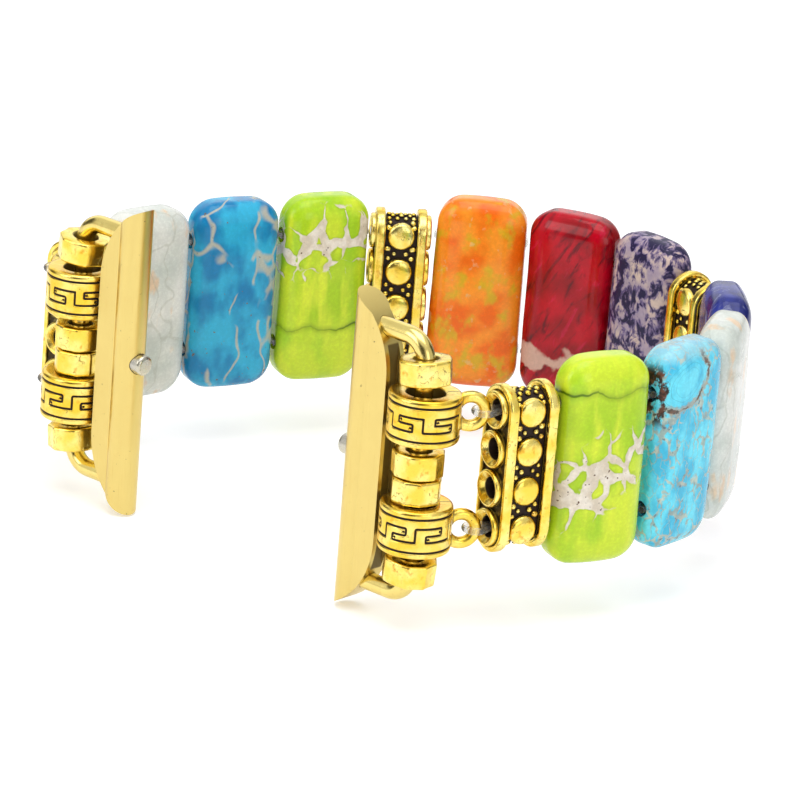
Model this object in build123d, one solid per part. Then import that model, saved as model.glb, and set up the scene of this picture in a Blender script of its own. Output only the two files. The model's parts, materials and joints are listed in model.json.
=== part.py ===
from build123d import *
from math import acos, asin, cos, degrees, radians, sin, sqrt, tan
import os

# Bead watch band: ten slab stones and four cast spacer bars on two elastic cords, closed at each
# end by two bails on a wire bar that is fixed in a slide-in connector.
# Millimetres and degrees. Z is up, along the width of the band. The connectors face each other
# along X, and the loop of stones runs behind them in Y.

# Clearances and small shared sizes
cut_overrun = 1.0
running_clearance = 0.05
stack_clearance = 0.1
edge_round = 0.25

# Elastic cord: two strands side by side in each row of holes
cord_diameter = 0.7
strand_offset = 0.37
cord_hole_diameter = 2.0
cord_end_inset = 0.05
loop_clearance = 0.05
cord_lead_angle = 32.0
cord_bend_radius = 1.0

# Slab stones
stone_height = 20.5
stone_width = 10.0
stone_thickness = 5.0
stone_round = 2.3
link_gap = 0.4

# Cast spacer bars with four eyelets
spacer_length = 6.4
spacer_depth = 5.0
spacer_pitch = 3.92
eyelet_count = 4
eyelet_diameter = 3.7
eyelet_height = 0.5
eyelet_sink = 0.3
flange_thickness = 1.0
flange_round = 0.3
recess_depth = 0.8
boss_diameter = 2.9
boss_height = 0.75

# Tubular bails with a wire loop on the side
bail_diameter = 7.0
bail_wall = 1.35
bail_height = 4.7
bail_spacing = 11.0
bail_pull = 0.2
loop_radius = 1.45
loop_wire_radius = 0.58
loop_stand_off = 0.9
hinge_to_rim = 0.9

# Rings on the wire bar
ring_diameter = 5.1
ring_bore = 2.4
ring_height = 2.5
end_ring_place = 9.9
end_ring_tilt = 6.0

# Wire bar bent like a D
bar_diameter = 1.8
bar_leg_place = 12.8
bar_bend_radius = 2.3
bar_stand_off = 3.7
bar_insertion = 1.8

# Slide-in connector
connector_width = 2.55
connector_depth = 5.0
bulb_radius = 1.6
corner_radius = 8.5
corner_start = 8.15
groove_width = 1.5
groove_depth = 0.5
groove_half_length = 11.3

# Spring-loaded lock button in the connector
button_radius = 1.05
button_length = 2.2
button_reach = 0.8
button_round = 0.4
button_bore_depth = 3.4
spring_radius = 0.75
spring_wire_radius = 0.12
spring_turns = 5
spring_clearance = 0.01

# Links in the order they are strung, from the right bail to the left one, with their headings
links = [
    ("spacer_right_front", "spacer", 73.0),
    ("stone_lime_right", "stone", 69.0),
    ("stone_turquoise", "stone", 93.0),
    ("stone_white_right", "stone", 118.0),
    ("stone_indigo", "stone", 136.0),
    ("spacer_right_back", "spacer", 160.0),
    ("stone_violet", "stone", 170.0),
    ("stone_crimson", "stone", 195.0),
    ("stone_orange", "stone", 217.0),
    ("spacer_left_back", "spacer", 226.0),
    ("stone_lime_left", "stone", 247.0),
    ("stone_sky", "stone", 249.0),
    ("stone_white_left", "stone", 260.5),
    ("spacer_left_front", "spacer", 276.8),
]
right_bail_heading = 54.0
left_bail_heading = 342.0
half_turn = 180.0
quarter_turn = 90.0

# Sizes that follow from the ones above
bail_bore = bail_diameter - 2 * bail_wall
hole_row = spacer_pitch * (eyelet_count - 1) / 2
eyelet_rows = [spacer_pitch * i - hole_row for i in range(eyelet_count)]
bail_places = {"upper": bail_spacing / 2, "lower": -bail_spacing / 2}
loop_lift = hole_row - bail_spacing / 2
loop_centre = bail_diameter / 2 + loop_stand_off
bail_reach = bail_pull + loop_centre + loop_radius
ring_low_place = bail_places["lower"] + bail_height / 2 + stack_clearance + ring_height / 2
ring_high_place = ring_low_place + ring_height + stack_clearance


def heading_vector(heading):
    return Vector(cos(radians(heading)), sin(radians(heading)), 0)


# A round bar along X, used for holes, eyelets, strands and the button
def round_bar(radius, start, end, y=0, z=0):
    bar = Cylinder(radius, end - start, align=(Align.CENTER, Align.CENTER, Align.MIN))
    return Pos(start, y, z) * Rot(0, quarter_turn, 0) * bar


# A flat plate across X whose outline has two straight sides and two round ends
def round_ended_plate(start, end, depth, height):
    outline = Plane.YZ * SlotOverall(height, depth, rotation=quarter_turn)
    return Pos(start, 0, 0) * extrude(outline, end - start)


# Stone: a slab with every edge rounded and two holes across it
def stone():
    body = Box(stone_width, stone_thickness, stone_height, align=(Align.MIN, Align.CENTER, Align.CENTER))
    body = fillet(body.edges(), stone_round)
    for row in (-hole_row, hole_row):
        body -= round_bar(cord_hole_diameter / 2, -cut_overrun, stone_width + cut_overrun, 0, row)
    return body


# One domed boss on the face that looks along Y
def boss(row):
    dome_radius = (boss_height**2 + (boss_diameter / 2) ** 2) / (2 * boss_height)
    core_face = spacer_depth / 2 - recess_depth
    ball = Pos(spacer_length / 2, core_face + boss_height - dome_radius, row) * Sphere(dome_radius)
    keep = Pos(spacer_length / 2, core_face - boss_height, row) * Rot(-quarter_turn, 0, 0) * Cylinder(
        boss_diameter / 2, spacer_depth, align=(Align.CENTER, Align.CENTER, Align.MIN)
    )
    return ball & keep


# Spacer bar: two flanges on a sunken core, bosses on both faces and four eyelets through it
def spacer():
    flange_start = eyelet_height
    flange_end = spacer_length - eyelet_height
    core_depth = spacer_depth - 2 * recess_depth
    flange_height = 2 * hole_row + spacer_depth
    flange = round_ended_plate(0, flange_thickness, spacer_depth, flange_height)
    flange = fillet(flange.edges(), flange_round)
    body = round_ended_plate(flange_start, flange_end, core_depth, 2 * hole_row + core_depth)
    body += Pos(flange_start, 0, 0) * flange
    body += Pos(flange_end - flange_thickness, 0, 0) * flange
    for row in eyelet_rows:
        body += round_bar(eyelet_diameter / 2, 0, spacer_length, 0, row)
        body += boss(row)
        body += Rot(0, 0, half_turn) * Pos(-spacer_length, 0, 0) * boss(row)
    for row in eyelet_rows:
        body -= round_bar(cord_hole_diameter / 2, -cut_overrun, spacer_length + cut_overrun, 0, row)
    mouths = body.edges().filter_by(GeomType.CIRCLE).filter_by(
        lambda edge: abs(edge.radius - cord_hole_diameter / 2) < running_clearance
    )
    return chamfer(mouths, eyelet_sink)


# Bail: a short tube that hangs on the bar, with a wire loop on its outer side
def bail(lift):
    body = Cylinder(bail_diameter / 2, bail_height)
    body = fillet(body.edges(), edge_round)
    loop = Pos(loop_centre, 0, lift) * Rot(quarter_turn, 0, 0) * Torus(loop_radius, loop_wire_radius)
    return body + loop - Cylinder(bail_bore / 2, bail_height + 2 * cut_overrun)


# Ring: a thick washer that turns freely on the bar
def ring():
    body = Cylinder(ring_diameter / 2, ring_height) - Cylinder(ring_bore / 2, ring_height + cut_overrun)
    return fillet(body.edges(), edge_round)


# Wire bar: a straight bar along Z, with two bent legs that run into the connector
def wire_bar():
    leg_sag = corner_radius - sqrt(corner_radius**2 - (bar_leg_place - corner_start) ** 2)
    leg_end = -bar_stand_off - leg_sag - bar_insertion
    path = FilletPolyline(
        (leg_end, 0, bar_leg_place),
        (0, 0, bar_leg_place),
        (0, 0, -bar_leg_place),
        (leg_end, 0, -bar_leg_place),
        radius=bar_bend_radius,
    )
    section = Plane(origin=path @ 0, z_dir=path % 0) * Circle(bar_diameter / 2)
    return sweep(section, path), leg_end


# Outline of the connector in the XZ plane: a flat outer face with two large round corners
def connector_profile():
    outer = -bar_stand_off
    inner = outer - connector_depth
    corner_angle = degrees(acos(1 - connector_depth / corner_radius))
    centre = outer - corner_radius
    tip = corner_start + corner_radius * sin(radians(corner_angle))
    edges = [
        Line((outer, -corner_start), (outer, corner_start)),
        CenterArc((centre, corner_start), corner_radius, 0, corner_angle),
        Line((inner, tip), (inner, -tip)),
        CenterArc((centre, -corner_start), corner_radius, -corner_angle, corner_angle),
    ]
    return Plane.XZ * make_face(edges)


# Connector: a neck with a round bulb behind it, cut to the outline, with a groove, two leg
# sockets and the bore of the lock button
def connector(leg_end):
    outer = -bar_stand_off
    inner = outer - connector_depth
    rail = 2 * (corner_start + corner_radius)
    neck = Pos(outer - connector_depth / 2, 0, 0) * Box(connector_depth - bulb_radius, connector_width, rail)
    neck = Pos(bulb_radius / 2, 0, 0) * neck
    bulb = Pos(inner + bulb_radius, 0, 0) * Cylinder(bulb_radius, rail)
    body = (neck + bulb) & extrude(connector_profile(), 2 * bulb_radius, both=True)
    body -= Pos(outer, 0, 0) * Box(2 * groove_depth, groove_width, 2 * groove_half_length)
    for leg in (-bar_leg_place, bar_leg_place):
        body -= round_bar(bar_diameter / 2 + running_clearance / 2, leg_end, cut_overrun, 0, leg)
    body -= round_bar(button_radius + running_clearance, inner - cut_overrun, inner + button_bore_depth)
    return body


# Lock button: a short plunger that stands out of the connector's inner edge
def lock_button():
    inner = -bar_stand_off - connector_depth
    start = inner - button_reach
    body = round_bar(button_radius, start, start + button_length)
    return fillet(body.edges().sort_by(Axis.X)[0], button_round)


# Coil spring between the button and the end of its bore
def lock_spring():
    inner = -bar_stand_off - connector_depth
    start = inner - button_reach + button_length
    length = inner + button_bore_depth - start
    rise = length - 2 * (spring_wire_radius + spring_clearance)
    path = Helix(rise / spring_turns, rise, spring_radius)
    coil = sweep(Plane(origin=path @ 0, z_dir=path % 0) * Circle(spring_wire_radius), path)
    return Pos(start + (length - rise) / 2, 0, 0) * Rot(0, quarter_turn, 0) * coil


# The straight cord strands of one link, two in each row of holes
def straight_strands(length):
    return [
        round_bar(cord_diameter / 2, cord_end_inset, length - cord_end_inset, side, row)
        for row in (-hole_row, hole_row)
        for side in (-strand_offset, strand_offset)
    ]


# One cord that comes through an end spacer, goes round the wire of a bail's loop and comes back.
# The turn is centred on that wire, and both legs bend inwards to lie side by side in the hole.
def turned_strand(row):
    turn_radius = loop_wire_radius + loop_clearance + cord_diameter / 2
    slope = radians(cord_lead_angle)
    centre = (-hinge_to_rim, 0)
    bend_end_y = strand_offset + cord_bend_radius * (1 - cos(slope))
    bend_start_x = centre[0] + (turn_radius / cos(slope) - bend_end_y) / tan(slope)
    bend_end_x = bend_start_x + cord_bend_radius * sin(slope)
    far_end = spacer_length - cord_end_inset
    tangent_x = centre[0] + turn_radius * sin(slope)
    tangent_y = turn_radius * cos(slope)
    sweep_angle = half_turn + 2 * cord_lead_angle
    first = quarter_turn - cord_lead_angle
    bend_y = strand_offset + cord_bend_radius
    edges = [
        Line((far_end, strand_offset), (bend_end_x, strand_offset)),
        CenterArc((bend_end_x, bend_y), cord_bend_radius, -quarter_turn, -cord_lead_angle),
        Line((bend_start_x, bend_end_y), (tangent_x, tangent_y)),
        CenterArc(centre, turn_radius, first, sweep_angle / 2),
        CenterArc(centre, turn_radius, first + sweep_angle / 2, sweep_angle / 2),
        Line((tangent_x, -tangent_y), (bend_start_x, -bend_end_y)),
        CenterArc((bend_end_x, -bend_y), cord_bend_radius, quarter_turn + cord_lead_angle, -cord_lead_angle),
        Line((bend_end_x, -strand_offset), (far_end, -strand_offset)),
    ]
    path = Wire(edges)
    section = Plane(origin=path @ 0, z_dir=path % 0) * Circle(cord_diameter / 2)
    return Pos(0, 0, row) * sweep(section, path)


def turned_strands():
    return [turned_strand(row) for row in (-hole_row, hole_row)]


def turned_about(solid, length):
    return Pos(length, 0, 0) * Rot(0, 0, half_turn) * solid


# Walk along the loop: every link starts where its neighbour ended, across a hinge in the gap
def walk_links():
    hinge = bail_reach * heading_vector(right_bail_heading)
    hinges = [hinge]
    places = {}
    for number, (name, kind, heading) in enumerate(links):
        length = spacer_length if kind == "spacer" else stone_width
        before = hinge_to_rim if number == 0 else link_gap / 2
        after = hinge_to_rim if number == len(links) - 1 else link_gap / 2
        start = hinge + before * heading_vector(heading)
        places[name] = Location(start, (0, 0, heading))
        hinge = start + (length + after) * heading_vector(heading)
        hinges.append(hinge)
    left_bar = hinge + bail_reach * heading_vector(left_bail_heading)
    return places, hinges, left_bar


def link_nodes(places):
    nodes = {}
    shapes = {"spacer": spacer(), "stone": stone()}
    for number, (name, kind, heading) in enumerate(links):
        length = spacer_length if kind == "spacer" else stone_width
        strands = straight_strands(length)
        if number == 0:
            strands = turned_strands()
        if number == len(links) - 1:
            strands = [turned_about(strand, length) for strand in turned_strands()]
        nodes[name] = places[name] * shapes[kind]
        nodes["cord_" + name] = places[name] * Compound(children=[s.solid() for s in strands])
    return nodes


# Everything on one bar: the connector, its lock, the bar, two bails and four rings
def end_nodes(side, place, turn, bail_heading):
    seat = Location(place, (0, 0, turn))
    bar, leg_end = wire_bar()
    nodes = {
        "connector_" + side: seat * connector(leg_end),
        "wire_bar_" + side: seat * bar,
        "lock_button_" + side: seat * lock_button(),
        "lock_spring_" + side: seat * lock_spring(),
    }
    for level, height in bail_places.items():
        lift = loop_lift if level == "upper" else -loop_lift
        centre = place + bail_pull * heading_vector(bail_heading) + Vector(0, 0, height)
        nodes["bail_" + level + "_" + side] = Location(centre, (0, 0, bail_heading)) * bail(lift)
    for level, height, tilt in (
        ("top", end_ring_place, end_ring_tilt),
        ("high", ring_high_place, 0),
        ("low", ring_low_place, 0),
        ("bottom", -end_ring_place, -end_ring_tilt),
    ):
        nodes["ring_" + level + "_" + side] = seat * Pos(0, 0, height) * Rot(0, -tilt, 0) * ring()
    return nodes


# The way from the bottom centre of the solids' common box to the origin
def shift_to_origin(solids):
    boxes = [solid.bounding_box() for solid in solids]
    low = [min(tuple(box.min)[axis] for box in boxes) for axis in range(3)]
    high = [max(tuple(box.max)[axis] for box in boxes) for axis in range(3)]
    return Vector(-(low[0] + high[0]) / 2, -(low[1] + high[1]) / 2, -low[2])


# The origin is at the bottom centre of the whole band
def assemble():
    places, hinges, left_bar = walk_links()
    nodes = link_nodes(places)
    nodes.update(end_nodes("right", Vector(0, 0, 0), 0, right_bail_heading))
    nodes.update(end_nodes("left", left_bar, half_turn, left_bail_heading - half_turn))
    shift = shift_to_origin(nodes.values())
    bars = {"right": shift, "left": left_bar + shift}
    hinges = [hinge + shift for hinge in hinges]
    return {name: Pos(shift) * solid for name, solid in nodes.items()}, hinges, bars


nodes, hinges, bars = assemble()
os.makedirs("parts", exist_ok=True)
for name, solid in nodes.items():
    export_step(solid, "parts/" + name + ".step")
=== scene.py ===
import json
from math import cos, pi, radians, sin, tan

import bmesh
import bpy
import numpy as np
from mathutils import Matrix, Vector
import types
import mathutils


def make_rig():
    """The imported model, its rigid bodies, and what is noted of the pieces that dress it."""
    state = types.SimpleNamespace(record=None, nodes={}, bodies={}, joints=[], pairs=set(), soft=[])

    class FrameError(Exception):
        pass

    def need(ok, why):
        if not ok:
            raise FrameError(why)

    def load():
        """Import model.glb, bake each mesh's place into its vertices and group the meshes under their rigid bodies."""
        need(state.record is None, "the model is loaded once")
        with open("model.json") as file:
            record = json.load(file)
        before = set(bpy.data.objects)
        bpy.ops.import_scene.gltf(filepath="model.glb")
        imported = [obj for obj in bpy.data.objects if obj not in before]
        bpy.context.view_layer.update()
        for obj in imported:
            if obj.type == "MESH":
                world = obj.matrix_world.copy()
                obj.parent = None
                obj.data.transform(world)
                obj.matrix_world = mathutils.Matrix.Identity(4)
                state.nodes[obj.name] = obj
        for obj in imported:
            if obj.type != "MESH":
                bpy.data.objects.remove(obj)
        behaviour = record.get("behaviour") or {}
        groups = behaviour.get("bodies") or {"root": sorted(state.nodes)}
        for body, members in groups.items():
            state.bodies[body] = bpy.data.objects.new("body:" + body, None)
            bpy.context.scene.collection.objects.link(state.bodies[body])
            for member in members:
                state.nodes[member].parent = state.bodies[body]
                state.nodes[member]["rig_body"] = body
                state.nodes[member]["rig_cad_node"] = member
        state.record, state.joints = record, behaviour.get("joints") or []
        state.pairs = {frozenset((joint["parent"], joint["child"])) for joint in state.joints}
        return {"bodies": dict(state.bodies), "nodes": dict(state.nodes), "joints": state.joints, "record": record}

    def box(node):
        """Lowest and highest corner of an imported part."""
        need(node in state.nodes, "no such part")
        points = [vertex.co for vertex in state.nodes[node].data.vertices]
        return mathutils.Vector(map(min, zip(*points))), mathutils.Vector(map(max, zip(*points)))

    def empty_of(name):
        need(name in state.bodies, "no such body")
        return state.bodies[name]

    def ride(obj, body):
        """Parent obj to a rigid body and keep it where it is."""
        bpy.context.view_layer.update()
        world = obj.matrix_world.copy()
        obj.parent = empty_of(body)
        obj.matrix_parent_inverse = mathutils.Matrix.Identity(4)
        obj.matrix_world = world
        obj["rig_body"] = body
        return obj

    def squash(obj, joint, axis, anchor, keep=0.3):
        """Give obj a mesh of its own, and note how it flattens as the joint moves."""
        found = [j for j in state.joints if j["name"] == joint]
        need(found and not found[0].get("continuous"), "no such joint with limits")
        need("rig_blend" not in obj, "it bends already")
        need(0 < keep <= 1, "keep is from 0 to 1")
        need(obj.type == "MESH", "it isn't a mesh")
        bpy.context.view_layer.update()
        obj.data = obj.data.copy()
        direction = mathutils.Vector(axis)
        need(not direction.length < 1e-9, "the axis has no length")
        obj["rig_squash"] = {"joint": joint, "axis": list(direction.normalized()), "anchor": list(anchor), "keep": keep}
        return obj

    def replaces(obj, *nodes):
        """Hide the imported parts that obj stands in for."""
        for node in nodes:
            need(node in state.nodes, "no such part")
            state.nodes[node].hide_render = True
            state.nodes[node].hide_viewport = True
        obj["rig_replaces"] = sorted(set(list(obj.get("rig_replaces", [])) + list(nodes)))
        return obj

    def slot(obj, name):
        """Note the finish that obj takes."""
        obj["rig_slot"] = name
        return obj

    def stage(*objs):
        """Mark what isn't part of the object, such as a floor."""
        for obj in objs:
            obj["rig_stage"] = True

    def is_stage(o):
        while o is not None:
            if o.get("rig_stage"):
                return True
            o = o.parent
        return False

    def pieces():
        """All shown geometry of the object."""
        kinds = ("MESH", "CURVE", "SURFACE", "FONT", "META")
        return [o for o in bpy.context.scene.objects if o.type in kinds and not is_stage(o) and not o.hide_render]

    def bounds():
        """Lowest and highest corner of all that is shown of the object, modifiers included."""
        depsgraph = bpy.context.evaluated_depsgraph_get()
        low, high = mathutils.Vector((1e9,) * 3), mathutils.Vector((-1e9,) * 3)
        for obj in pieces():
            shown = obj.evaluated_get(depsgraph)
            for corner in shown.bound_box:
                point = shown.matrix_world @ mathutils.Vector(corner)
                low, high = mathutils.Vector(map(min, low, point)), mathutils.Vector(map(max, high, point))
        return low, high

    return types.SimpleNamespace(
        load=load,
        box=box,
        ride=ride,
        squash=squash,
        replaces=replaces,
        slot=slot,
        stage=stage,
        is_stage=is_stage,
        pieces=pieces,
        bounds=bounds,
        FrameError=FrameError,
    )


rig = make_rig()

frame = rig.load()
cad_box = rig.bounds()
mm = 0.001


# Stones. Ten slabs of soft natural stone, dyed and tumbled until every edge is round, then waxed.
# Two holes are drilled across each slab for the elastic, so that they sit side by side like
# planks. No two are quite the same shape.
outer_row = 5.88    # millimetres from the band's middle line to the outer rows of holes


class Given:
    """What a node gives: a number, vector, colour or shape. Plain sums with it add nodes to its tree,
    and given["Name"] is another output of the same node."""

    def __init__(self, socket):
        self.socket, self.tree = socket, socket.id_data

    def __getitem__(self, name):
        return Given(self.socket.node.outputs[name])

    def __iter__(self):
        return iter([Given(socket) for socket in self.socket.node.outputs])

    __add__ = lambda self, other: work("ADD", self, other)
    __sub__ = lambda self, other: work("SUBTRACT", self, other)
    __rsub__ = lambda self, other: work("SUBTRACT", other, self)
    __mul__ = lambda self, other: work("MULTIPLY", self, other)
    __truediv__ = lambda self, other: work("DIVIDE", self, other)
    __rtruediv__ = lambda self, other: work("DIVIDE", other, self)
    __pow__ = lambda self, other: work("POWER", self, other)
    __abs__ = lambda self: work("ABSOLUTE", self)
    __neg__ = lambda self: work("MULTIPLY", self, -1.0)


def node(tree, kind, feeds={}, **settings):
    """One node of a tree. Each feed is a plain value, or what another node gives."""
    made = tree.nodes.new(kind)
    for setting, value in settings.items():
        setattr(made, setting, value)
    for socket, value in feeds.items():
        if isinstance(value, Given):
            tree.links.new(value.socket, made.inputs[socket])
        else:
            made.inputs[socket].default_value = value
    return Given(made.outputs[0]) if made.outputs else made


def work(operation, *values, **settings):
    """A sum of plain numbers, or of vectors where one of the values is a vector or a colour."""
    given = [value for value in values if isinstance(value, Given)]
    kind = "ShaderNodeMath"
    if any(value.socket.type in ("VECTOR", "RGBA") for value in given):
        kind = "ShaderNodeVectorMath"
        values = [(value,) * 3 if isinstance(value, (int, float)) else value for value in values]
    return node(given[0].tree, kind, dict(enumerate(values)), operation=operation, **settings)


def most(*values):
    """The highest of the values, axis by axis where they are vectors."""
    highest = values[0]
    for value in values[1:]:
        highest = work("MAXIMUM", highest, value)
    return highest


def step(value, start, end):
    """0 where value is at start, 1 where it is at end, and smooth between them."""
    feeds = {0: value, 1: start, 2: end}
    return node(value.tree, "ShaderNodeMapRange", feeds, interpolation_type="SMOOTHSTEP")


def axes(place):
    return node(place.tree, "ShaderNodeSeparateXYZ", {0: place})


def vector(x=0.0, y=0.0, z=0.0):
    tree = next(value.tree for value in (x, y, z) if isinstance(value, Given))
    return node(tree, "ShaderNodeCombineXYZ", {0: x, 1: y, 2: z})


def moved(shape, **how):
    return node(shape.tree, "GeometryNodeSetPosition", {"Geometry": shape, **how})


def ripple(size, scale):
    """Noise over a piece, with a form of its own for each seed."""
    at = node(size.tree, "GeometryNodeInputPosition")
    feeds = {"Vector": at, "W": size["Seed"], "Scale": scale, "Detail": 1.0}
    return node(size.tree, "ShaderNodeTexNoise", feeds, noise_dimensions="4D")


def pressed_in(shape, depth):
    """Moves every point inwards, at right angles to the surface."""
    return moved(shape, Offset=node(shape.tree, "GeometryNodeInputNormal") * -depth)


def set_on(points, shape, **how):
    """The same shape on every point, as real mesh."""
    many = node(points.tree, "GeometryNodeInstanceOnPoints", {"Points": points, "Instance": shape, **how})
    return node(points.tree, "GeometryNodeRealizeInstances", {"Geometry": many})


def recipe(name, sizes):
    """A Geometry Nodes tree with named inputs. A size given as a word is an input of that kind. What
    comes back is the mesh that it starts from, whose node has the sizes too."""
    tree = bpy.data.node_groups.new(name, "GeometryNodeTree")
    tree.interface.new_socket("Geometry", in_out="OUTPUT", socket_type="NodeSocketGeometry")
    inputs = {"Geometry": "Geometry", **sizes, "Seed": 0.0, "Centre": (0.0, 0.0, 0.0), "Heading": 0.0,
              "Material": "Material"}
    for label, value in inputs.items():
        kind = value if isinstance(value, str) else "Float" if isinstance(value, float) else "Vector"
        socket = tree.interface.new_socket(label, in_out="INPUT", socket_type="NodeSocket" + kind)
        if not isinstance(value, str):
            socket.default_value = value
    return Given(tree.nodes.new("NodeGroupInput").outputs[0])


def finish_recipe(size, shape, crease, place_name):
    """Smooth shading except at edges sharper than crease degrees. Then the piece's seed and each point's
    place on it, in millimetres, are noted, and the piece is set in its place."""
    tree = size.tree
    smooth = node(tree, "GeometryNodeSetShadeSmooth", {"Geometry": shape})
    sharp = work("GREATER_THAN", node(tree, "GeometryNodeInputMeshEdgeAngle"), radians(crease))
    shape = node(tree, "GeometryNodeSetShadeSmooth", {
        "Geometry": smooth, "Selection": sharp, "Shade Smooth": False}, domain="EDGE")
    in_mm = node(tree, "GeometryNodeInputPosition") * 1000.0
    for label, value, kind in ((place_name, in_mm, "FLOAT_VECTOR"), ("piece_seed", size["Seed"], "FLOAT")):
        shape = node(tree, "GeometryNodeStoreNamedAttribute", {
            "Geometry": shape, "Name": label, "Value": value}, data_type=kind, domain="POINT")
    shape = node(tree, "GeometryNodeTransform", {
        "Geometry": shape, "Translation": size["Centre"], "Rotation": vector(z=size["Heading"])})
    shape = node(tree, "GeometryNodeRealizeInstances", {"Geometry": shape})
    shape = node(tree, "GeometryNodeSetMaterial", {"Geometry": shape, "Material": size["Material"]})
    tree.links.new(shape.socket, tree.nodes.new("NodeGroupOutput").inputs[0])
    return tree


def put(name, data):
    """An object in the scene, at the origin."""
    thing = bpy.data.objects.new(name, data)
    bpy.context.scene.collection.objects.link(thing)
    return thing


def middle(name):
    """The middle of a CAD node's box."""
    low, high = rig.box(name)
    return (low + high) / 2


def make(name, ending, tree, slot, start=None, body=None, **sizes):
    """Runs a recipe once, and keeps the result as a plain mesh that stands for the CAD node of that
    name. It rides on the body of the same name, unless it is given another."""
    maker = put(name + "_maker", start or bpy.data.meshes.new(name + "_start"))
    modifier = maker.modifiers.new("recipe", "NODES")
    modifier.node_group = tree
    for socket in tree.interface.items_tree:
        if socket.in_out == "INPUT" and socket.name in sizes:
            modifier[socket.identifier] = sizes[socket.name]
    depsgraph = bpy.context.evaluated_depsgraph_get()
    mesh = bpy.data.meshes.new_from_object(
        maker.evaluated_get(depsgraph), preserve_all_data_layers=True, depsgraph=depsgraph)
    bpy.data.objects.remove(maker)
    piece = put(name + ending, mesh)
    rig.ride(piece, body or name)
    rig.replaces(piece, name)
    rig.slot(piece, slot)
    return piece


def slab_recipe():
    size = recipe("tumbled_slab", {
        "Width": 10 * mm, "Thickness": 5 * mm, "Height": 20.5 * mm,
        "Edge Round": (2.7 * mm, 1.8 * mm, 2.6 * mm), "Crown": 0.08, "Arch": 0.03, "Taper": 0.0,
        "Waves": 0.2 * mm, "Hole Radius": 0.82 * mm, "Hole Row": outer_row * mm})
    tree = size.tree
    whole = vector(size["Width"], size["Thickness"], size["Height"])
    cube = node(tree, "GeometryNodeMeshCube", {
        "Size": whole, "Vertices X": 31, "Vertices Y": 17, "Vertices Z": 61})
    at = node(tree, "GeometryNodeInputPosition")
    half = whole * 0.5
    core = half - size["Edge Round"]
    inside = work("MINIMUM", most(at, -core), core)
    away = work("NORMALIZE", (at - inside) / size["Edge Round"])
    rounded = away * size["Edge Round"] + inside
    across, _, up = axes(rounded / half)
    narrower = 1.0 - (abs(size["Taper"]) + size["Taper"] * up) * 0.5
    thinner = 1.0 - (across * across + up * up) * size["Crown"]
    arch = 1.0 - across * across * size["Arch"]
    slab = moved(cube, Position=rounded * vector(narrower, thinner, arch))
    slab = pressed_in(slab, ripple(size, 160.0) * size["Waves"])
    rod = node(tree, "GeometryNodeMeshCylinder", {
        "Vertices": 40, "Radius": size["Hole Radius"], "Depth": 12 * mm})
    low, rise = vector(z=-size["Hole Row"]), vector(z=size["Hole Row"] * 2.0)
    rows = node(tree, "GeometryNodeMeshLine", {"Count": 2, "Start Location": low, "Offset": rise})
    rods = set_on(rows, rod, Rotation=(0, pi / 2, 0))
    drilled = node(tree, "GeometryNodeMeshBoolean", {"Mesh 1": slab, "Mesh 2": rods},
                   operation="DIFFERENCE", solver="EXACT")
    return finish_recipe(size, drilled, 38, "stone_place")


def dye(code):
    """A colour as a maker names it, six hex digits, turned into Blender's linear values."""
    parts = [int(code[i:i + 2], 16) / 255 for i in (0, 2, 4)]
    return [p / 12.92 if p <= 0.04045 else ((p + 0.055) / 1.055) ** 2.4 for p in parts] + [1.0]


def tint(share, under, over):
    """The colour under, with the colour over on it by the given share."""
    under, over = (dye(colour) if isinstance(colour, str) else colour for colour in (under, over))
    return node(share.tree, "ShaderNodeMix", {0: share, 6: under, 7: over}, data_type="RGBA")[2]


def cloud(place, size, seed=0.0, stretch=(1, 1, 1), detail=2.0, rough=0.5, swirl=0.0):
    """Soft clouds about size millimetres across, as a value from 0 to 1."""
    moved_on = {"Vector": place, "Location": (seed * 7.3, seed * 3.1, seed * 5.7), "Scale": stretch}
    feeds = {"Vector": node(place.tree, "ShaderNodeMapping", moved_on), "Scale": 1 / size, "Detail": detail,
             "Roughness": rough, "Distortion": swirl}
    return node(place.tree, "ShaderNodeTexNoise", feeds)


def patches(place, size, seed, start, end, *how, **more):
    """The parts of such a cloud that are past end, with soft edges back to start."""
    return step(cloud(place, size, seed, *how, **more), start, end)


def web(place, size, seed=0.0, stretch=(1, 1, 1), warp=0.5):
    """How far a point is from the nearest line of an irregular web with cells about size across."""
    waves = {"Vector": place, "Scale": 1.1 / size, "Detail": 1.5}
    bend = (node(place.tree, "ShaderNodeTexNoise", waves)["Color"] - 0.5) * (warp * size * 2)
    moved_on = {"Vector": place + bend, "Location": (seed * 4.1, seed * 6.7, seed * 2.9), "Scale": stretch}
    feeds = {"Vector": node(place.tree, "ShaderNodeMapping", moved_on), "Scale": 1 / size}
    return node(place.tree, "ShaderNodeTexVoronoi", feeds, feature="DISTANCE_TO_EDGE")


def emptied(new):
    """A new material or world whose node tree is still empty, and that tree."""
    new.use_nodes = True
    new.node_tree.nodes.clear()
    return new, new.node_tree


def surface(tree, height, strength, depth, feeds):
    """Ends a material: its shader, with bumps of this strength and depth in millimetres."""
    bump = node(tree, "ShaderNodeBump", {"Strength": strength, "Distance": depth * mm, "Height": height})
    shader = node(tree, "ShaderNodeBsdfPrincipled", {**feeds, "Normal": bump})
    node(tree, "ShaderNodeOutputMaterial", {"Surface": shader})


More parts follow.
